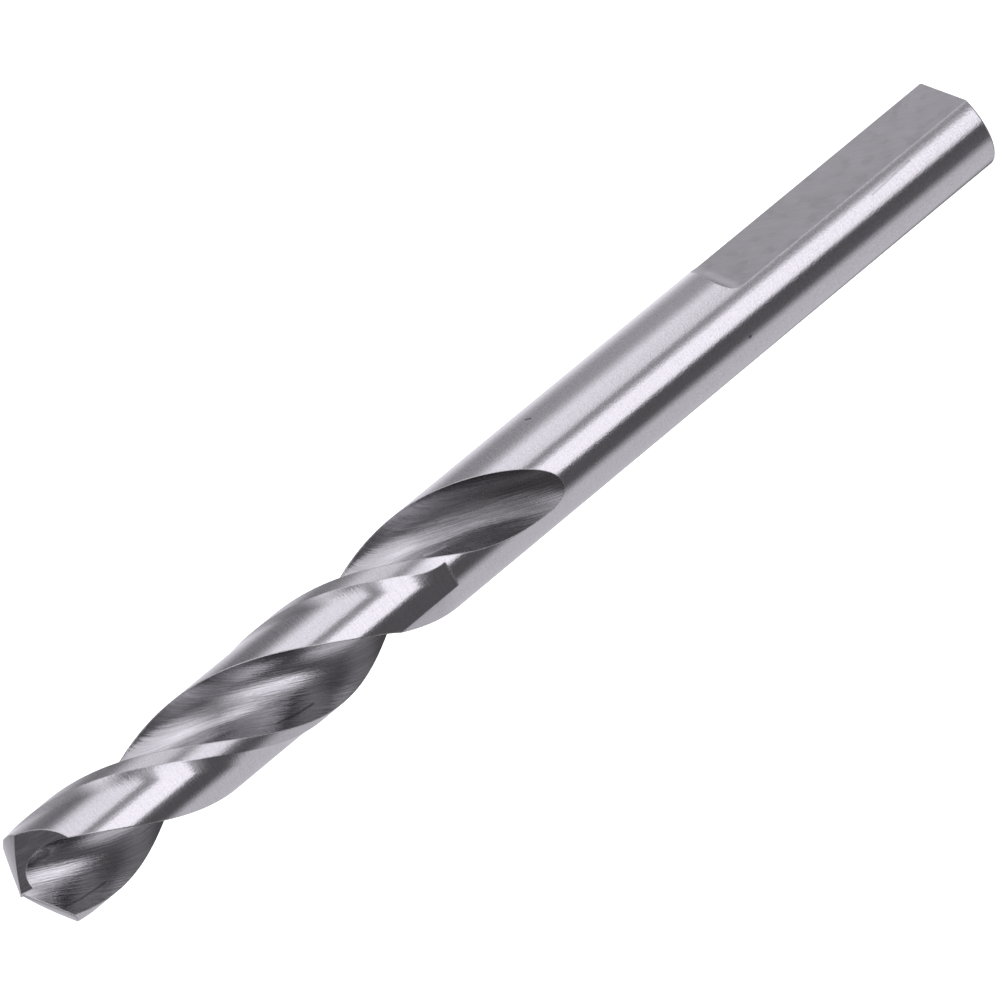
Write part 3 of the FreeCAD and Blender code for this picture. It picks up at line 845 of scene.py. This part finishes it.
class DRILL_OT_bit(bpy.types.Operator):
    """Turn, flute, relieve and point the drill, and grind the flat on its shank"""

    bl_idname = "drill.bit"
    bl_label = "Drill Bit"
    bl_options = {"REGISTER", "UNDO"}

    def execute(self, context):
        sizes = context.scene.drill_sizes
        looks = context.scene.drill_looks
        make_finishes(sizes, looks)
        bit = make_bar(sizes)
        twin = sizes.lip_angle + math.pi
        cut(
            bit,
            [
                make_flute_cutters(sizes),
                make_relief_cutters(sizes),
                make_flank_cutter(sizes, sizes.lip_angle),
                make_flank_cutter(sizes, twin),
                make_notch_cutter(sizes, sizes.lip_angle),
                make_notch_cutter(sizes, twin),
                make_flat_cutter(sizes),
            ],
        )
        smooth_faces(bit)
        if len(bit.data.polygons) < FEWEST_FACES:
            raise RuntimeError("the drill was not cut as expected")
        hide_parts(NODE)
        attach(bit, "root")
        return {"FINISHED"}


class DRILL_OT_studio(bpy.types.Operator):
    """Set up the pale floor, the soft lamp, the white background and the camera"""

    bl_idname = "drill.studio"
    bl_label = "Studio"
    bl_options = {"REGISTER", "UNDO"}

    def execute(self, context):
        scene = context.scene
        looks = scene.drill_looks
        make_floor(looks)
        make_lamp()
        make_world(scene, looks)
        make_camera(scene, looks)
        scene.view_settings.view_transform = "Standard"
        return {"FINISHED"}


# Studio ---------------------------------------------------------------------------


WHITE = (1.0, 1.0, 1.0, 1.0)
FLOOR_HALF = 1.5  # half of the floor's side
FLOOR_GLOW = 0.5  # what lifts the floor to white beyond the shadow
LAMP_PLACE = (-0.1, -0.2, 0.7)
LAMP_SIZE = 0.5  # across
LAMP_POWER = 4.0  # in watts
SOFT_LIGHT = 0.8  # strength of the even light on the floor
SENSOR_WIDTH = 36.0  # of the camera, in millimetres
NEAREST = 0.01  # what the camera sees is further off than this


def straight_ray(shader):
    """1 for what the camera sees directly or through something clear."""
    seen = shader.node("LightPath", output="Is Camera Ray")
    return seen.most(shader.node("LightPath", output="Is Transmission Ray"))


def make_floor(looks):
    """Pale floor that shows white with the drill's shadow on it. Reflections pass through
    it, so that the steel mirrors the soft boxes and cards of the studio alone."""
    bm = bmesh.new()
    bmesh.ops.create_grid(bm, x_segments=1, y_segments=1, size=FLOOR_HALF)
    floor = into_object(bm, "studio_floor")
    material = bpy.data.materials.new("pale_floor")
    shader = Shader(material)
    lit = shader.node("BsdfDiffuse", {"Color": tuple(looks.floor) + (1.0,)})
    glow = shader.node("Emission", {"Color": WHITE, "Strength": FLOOR_GLOW})
    seen = shader.node("AddShader", {0: lit, 1: glow})
    surface = shader.node("MixShader", {0: straight_ray(shader), 1: lit, 2: seen})
    to_metal = shader.node("LightPath", output="Is Glossy Ray")
    clear = shader.node("BsdfTransparent")
    surface = shader.node("MixShader", {0: to_metal, 1: surface, 2: clear})
    shader.node("OutputMaterial", {"Surface": surface})
    floor.data.materials.append(material)


def make_lamp():
    """One large soft lamp above, which casts the shadow. The steel mirrors the boxes of
    the studio in its place."""
    place = Vector(LAMP_PLACE)
    lamp = bpy.data.lights.new("top_light", "AREA")
    lamp.shape = "DISK"
    lamp.size = LAMP_SIZE
    lamp.energy = LAMP_POWER
    thing = bpy.data.objects.new("top_light", lamp)
    thing.location = place
    thing.rotation_euler = place.to_track_quat("Z", "Y").to_euler()
    thing.visible_glossy = False
    bpy.context.scene.collection.objects.link(thing)


# What the steel mirrors, laid over each other in this order: direction from the drill
# (degrees from the camera's side, degrees above the horizon), half of its width and
# height, slant, share of it that is soft edge, and brightness, where white is 1.
STUDIO = (
    ("pale table", 0, -90, 200, 24, 0, 0.30, 0.55),
    ("back left card", -141, -9, 63, 16, -12, 0.20, 0.60),
    ("back right card", 94, -33, 41, 17, -1, 0.25, 0.44),
    ("right end card", 162, -16, 28, 30, -31, 0.70, 1.01),
    ("low card", 20, -41, 29, 17, -74, 0.70, 0.27),
    ("grey card", 0, -10, 43, 17, -24, 0.37, 0.58),
    ("lower soft box", 43, -15, 24, 8, -7, 0.55, 1.01),
    ("side soft box", 34, 28, 48, 19, -31, 0.52, 1.16),
    ("thin grey card", 14.5, -17, 6.3, 13, 0, 0.35, 0.34),
    ("front soft box", -16, -12, 16, 18.5, -97, 0.15, 1.22),
    ("left card", -86, -54, 30, 21, 8, 0.68, 0.25),
    ("right card", 126, 5, 39, 17, -6, 0.60, 0.44),
)
SURROUND = 0.10  # brightness of the studio between them
STUDIO_TINT = (1.016, 0.985, 1.05, 1.0)  # colour of all of it


def fourth_power(value):
    return value * value * value * value


def patch(around, above, middle, height, half_width, half_height, slant, soft):
    """1 inside one patch of the studio and 0 outside it, with a soft edge."""
    along, across = slanted(around - middle, above - height, math.radians(slant))
    along = along / half_width
    across = across / half_height
    edge = (fourth_power(along) + fourth_power(across)).root().root()
    return edge.fall(1 - soft, 1 + soft)


def make_world(scene, looks):
    """White background for the camera, even soft light for the floor, and for the steel
    a studio of soft boxes and cards."""
    world = bpy.data.worlds.new("studio")
    scene.world = world
    shader = Shader(world)
    ray = shader.node("TexCoord", output="Generated")
    ray = shader.node(
        "VectorRotate", {"Vector": ray, "Angle": -looks.camera_azimuth}, rotation_type="Z_AXIS"
    )
    x, y, z = shader.split(ray)
    around = shader.maths("ARCTAN2", y, x) * math.degrees(1)
    above = shader.maths("ARCSINE", z) * math.degrees(1)
    level = SURROUND
    for _, *shape, brightness in STUDIO:
        mask = patch(around, above, *shape)
        level = mask * brightness + (1 - mask) * level
    steel_sees = shader.node("Background", {"Color": STUDIO_TINT, "Strength": level})
    white = shader.node("Background", {"Color": WHITE, "Strength": 1.0})
    soft_light = shader.node("Background", {"Color": WHITE, "Strength": SOFT_LIGHT})
    to_metal = shader.node("LightPath", output="Is Glossy Ray")
    lit = shader.node("MixShader", {0: to_metal, 1: soft_light, 2: steel_sees})
    surface = shader.node("MixShader", {0: straight_ray(shader), 1: lit, 2: white})
    shader.node("OutputWorld", {"Surface": surface})


def make_camera(scene, looks):
    """Camera that sees the standing drill from the side, rolled so that the drill lies
    across the picture with its point at the lower left."""
    rise = looks.camera_elevation
    back = polar(math.cos(rise), looks.camera_azimuth, math.sin(rise))
    aim = Vector((0, 0, looks.aim_height))
    lens = bpy.data.cameras.new("camera")
    lens.lens = looks.camera_lens
    lens.sensor_width = SENSOR_WIDTH
    lens.clip_start = NEAREST
    camera = bpy.data.objects.new("camera", lens)
    upright = back.to_track_quat("Z", "Y").to_matrix().to_4x4()
    roll = Matrix.Rotation(looks.camera_roll, 4, "Z")
    away = Matrix.Translation(aim + back * looks.camera_distance)
    camera.matrix_world = away @ upright @ roll
    scene.collection.objects.link(camera)
    scene.camera = camera


# Panel ----------------------------------------------------------------------------


class DRILL_PT_panel(bpy.types.Panel):
    """Sizes, colours and steps of the pilot drill bit"""

    bl_idname = "DRILL_PT_panel"
    bl_label = "Pilot Drill Bit"
    bl_space_type = "VIEW_3D"
    bl_region_type = "UI"
    bl_category = "Drill"

    def draw(self, context):
        layout = self.layout
        for operator in OPERATORS:
            layout.operator(operator.bl_idname)
        for group in (context.scene.drill_sizes, context.scene.drill_looks):
            column = layout.column(align=True)
            for name in group.__annotations__:
                column.prop(group, name)


OPERATORS = (DRILL_OT_bit, DRILL_OT_studio)
CLASSES = (DrillSizes, DrillLooks, *OPERATORS, DRILL_PT_panel)


def register():
    for kind in CLASSES:
        bpy.utils.register_class(kind)
    bpy.types.Scene.drill_sizes = bpy.props.PointerProperty(type=DrillSizes)
    bpy.types.Scene.drill_looks = bpy.props.PointerProperty(type=DrillLooks)


def unregister():
    del bpy.types.Scene.drill_looks
    del bpy.types.Scene.drill_sizes
    for kind in reversed(CLASSES):
        bpy.utils.unregister_class(kind)


def main():
    register()
    bpy.ops.drill.bit()
    bpy.ops.drill.studio()


if __name__ == "__main__":
    main()
